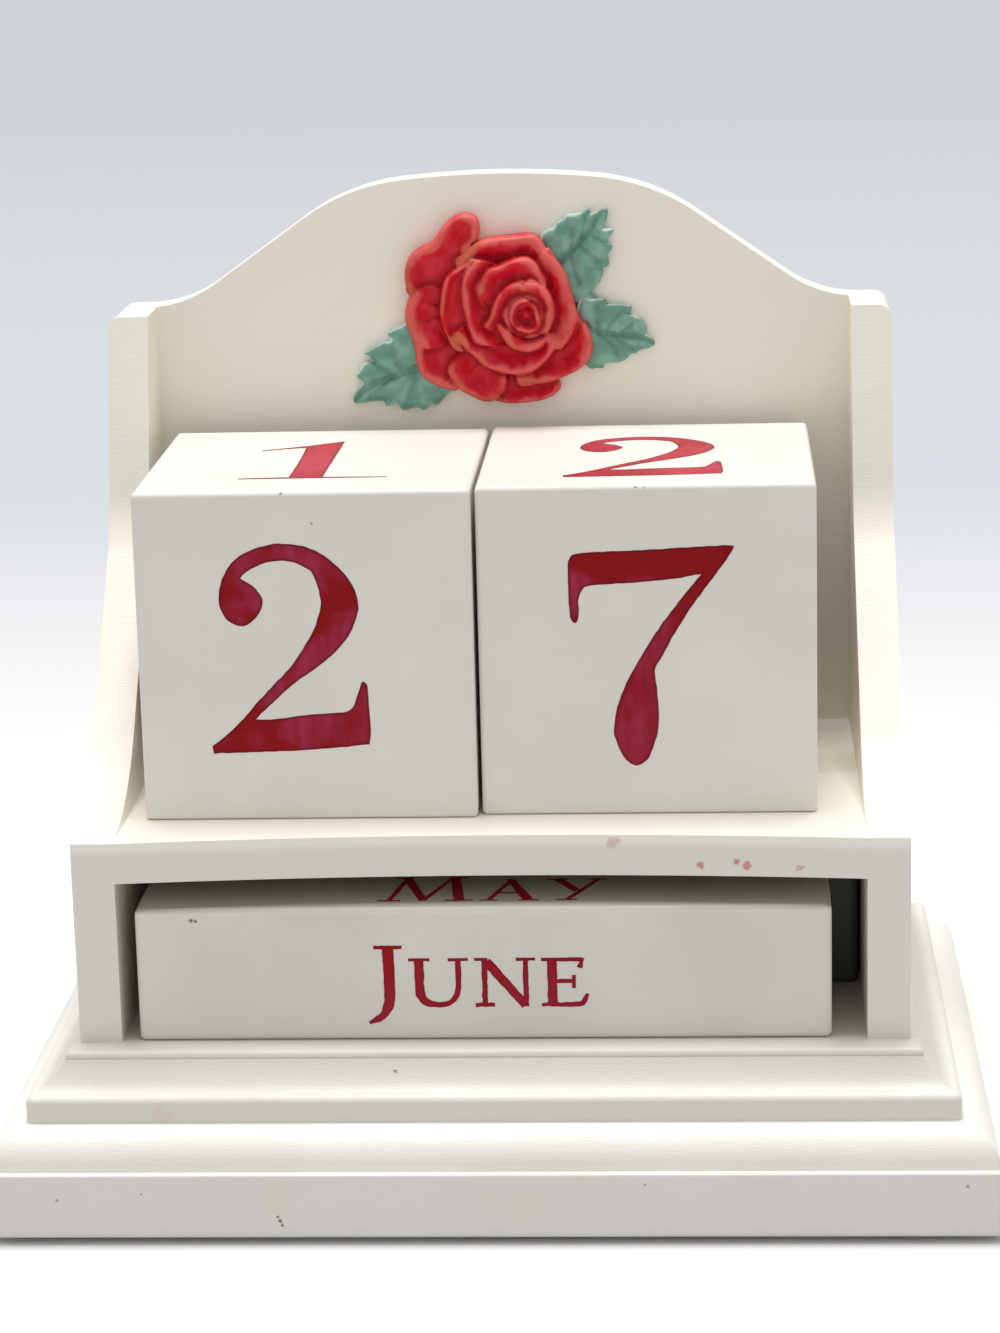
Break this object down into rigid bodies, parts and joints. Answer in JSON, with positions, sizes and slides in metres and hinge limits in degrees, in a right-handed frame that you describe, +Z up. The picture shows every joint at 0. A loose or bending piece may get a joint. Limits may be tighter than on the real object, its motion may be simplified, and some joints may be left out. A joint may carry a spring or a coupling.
{
  "type": "perpetual desk calendar",
  "caption": "Painted wooden perpetual desk calendar with loose number cubes on a shelf, month bars in the slot under it, and a rose in relief on the arched back",
  "frame": {"origin": "on the desk, midway between the slab's ends and midway between its front and back edges", "axes": "+X to the reader's right, +Y towards the back panel, +Z up"},
  "size_m": [0.15, 0.1044, 0.1462],
  "materials": {
    "board_paint": "satin",
    "block_paint": "satin",
    "rose_paint": "semi-gloss",
    "leaf_paint": "matte",
    "screw_steel": "brushed",
    "pad_felt": "matte"
  },
  "bodies": {
    "stand": {"base_slab": "board_paint", "base_step": "board_paint", "side_board_left": "board_paint", "side_board_right": "board_paint", "shelf_board": "board_paint", "back_panel": "board_paint", "rose_head": "rose_paint", "leaf_upper": "leaf_paint", "leaf_right": "leaf_paint", "leaf_lower": "leaf_paint", "side_screws": "screw_steel", "step_screws": "screw_steel", "panel_pins": "screw_steel", "pad_front_left": "pad_felt", "pad_front_right": "pad_felt", "pad_rear_left": "pad_felt", "pad_rear_right": "pad_felt"},
    "left_cube": {"number_cube_left": "block_paint"},
    "right_cube": {"number_cube_right": "block_paint"},
    "rear_bar": {"month_bar_rear": "block_paint"},
    "middle_bar": {"month_bar_middle": "block_paint"},
    "front_bar": {"month_bar_front": "block_paint"}
  },
  "joints": [
    {"name": "left_cube_lift", "type": "slide", "parent": "stand", "child": "left_cube", "axis": [0, -0.5, 0.866], "range_m": [0, 0.085]},
    {"name": "right_cube_lift", "type": "slide", "parent": "stand", "child": "right_cube", "axis": [0, -0.5, 0.866], "range_m": [0, 0.085]},
    {"name": "rear_bar_draw", "type": "slide", "parent": "stand", "child": "rear_bar", "axis": [0, -1, 0], "range_m": [0, 0.067]},
    {"name": "middle_bar_draw", "type": "slide", "parent": "rear_bar", "child": "middle_bar", "axis": [0, -1, 0], "range_m": [0, 0.047]},
    {"name": "front_bar_draw", "type": "slide", "parent": "middle_bar", "child": "front_bar", "axis": [0, -1, 0], "range_m": [0, 0.024]}
  ]
}
